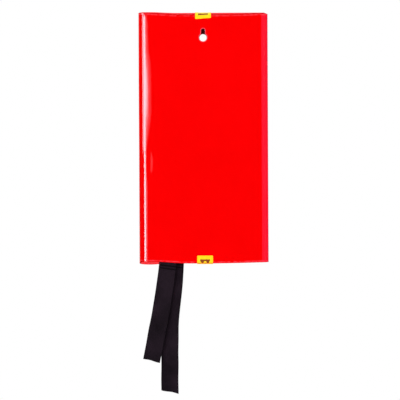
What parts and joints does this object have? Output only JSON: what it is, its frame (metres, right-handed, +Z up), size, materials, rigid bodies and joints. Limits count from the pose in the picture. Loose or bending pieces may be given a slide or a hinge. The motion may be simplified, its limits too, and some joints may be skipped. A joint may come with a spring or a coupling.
{
  "type": "fire blanket",
  "caption": "Folded glass-cloth fire blanket in a slim red wall-hung sleeve, with a keyhole at the back and black pull tapes at the bottom.",
  "frame": {"origin": "centre of the wall screw's shank where it rests in the top of the keyhole's slot, on the sleeve's back face, which lies on the wall", "axes": "+Z up along the sleeve's length, +Y into the wall, -Y towards the person who pulls the blanket, +X to the left of someone who looks at the back face"},
  "size_m": [0.15, 0.0266, 0.443],
  "materials": {
    "sleeve_vinyl": "gloss",
    "seal_paper": "satin",
    "label_paper": "satin",
    "glass_cloth": "matte",
    "tape_webbing": "matte",
    "tape_thread": "matte"
  },
  "bodies": {
    "case": {"case_sleeve": "sleeve_vinyl", "top_seal_label": "seal_paper", "front_instruction_label": "label_paper"},
    "blanket": {"folded_blanket": "glass_cloth", "bottom_seal_label": "seal_paper", "short_tape_sewn_end": "tape_webbing", "short_tape_stitching": "tape_thread", "long_tape_sewn_end": "tape_webbing", "long_tape_stitching": "tape_thread"},
    "long_tape": {"long_pull_tape": "tape_webbing"},
    "short_tape": {"short_pull_tape": "tape_webbing"}
  },
  "joints": [
    {"name": "blanket_pull", "type": "slide", "parent": "case", "child": "blanket", "axis": [0, 0, -1], "range_m": [0, 0.28]},
    {"name": "long_tape_swing", "type": "hinge", "parent": "blanket", "child": "long_tape", "pos_m": [0.0333, -0.0073, -0.266], "axis": [-1, 0, 0], "range_deg": [0, 75]},
    {"name": "short_tape_swing", "type": "hinge", "parent": "blanket", "child": "short_tape", "pos_m": [0.042, -0.003, -0.2676], "axis": [-1, 0, 0], "range_deg": [0, 75]}
  ],
  "couplings": [
    {"joint": "short_tape_swing", "follows": "long_tape_swing", "ratio": 1}
  ]
}
